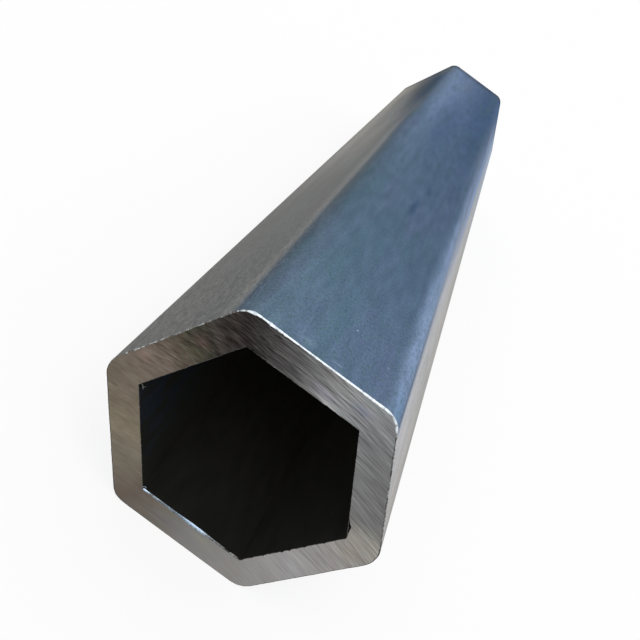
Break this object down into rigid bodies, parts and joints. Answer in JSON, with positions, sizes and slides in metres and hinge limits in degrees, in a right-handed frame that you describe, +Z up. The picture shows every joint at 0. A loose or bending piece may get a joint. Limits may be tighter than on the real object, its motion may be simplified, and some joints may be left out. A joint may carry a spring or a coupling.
{
  "type": "hexagonal steel tube",
  "caption": "Heavy-walled hexagonal steel tube with rounded outer corners and a sharp-cornered hexagonal bore, sawn square at both ends.",
  "frame": {"origin": "on the floor under the middle of the tube, on the flat that it lies on", "axes": "+Y along the tube, +Z up through the flat on top, +X across the corners"},
  "size_m": [0.0564, 0.32, 0.05],
  "materials": {
    "steel": "blue-grey drawn skin, bare sawn ends, dark bore"
  },
  "bodies": {
    "root": {"hex_tube": "steel"}
  },
  "joints": []
}
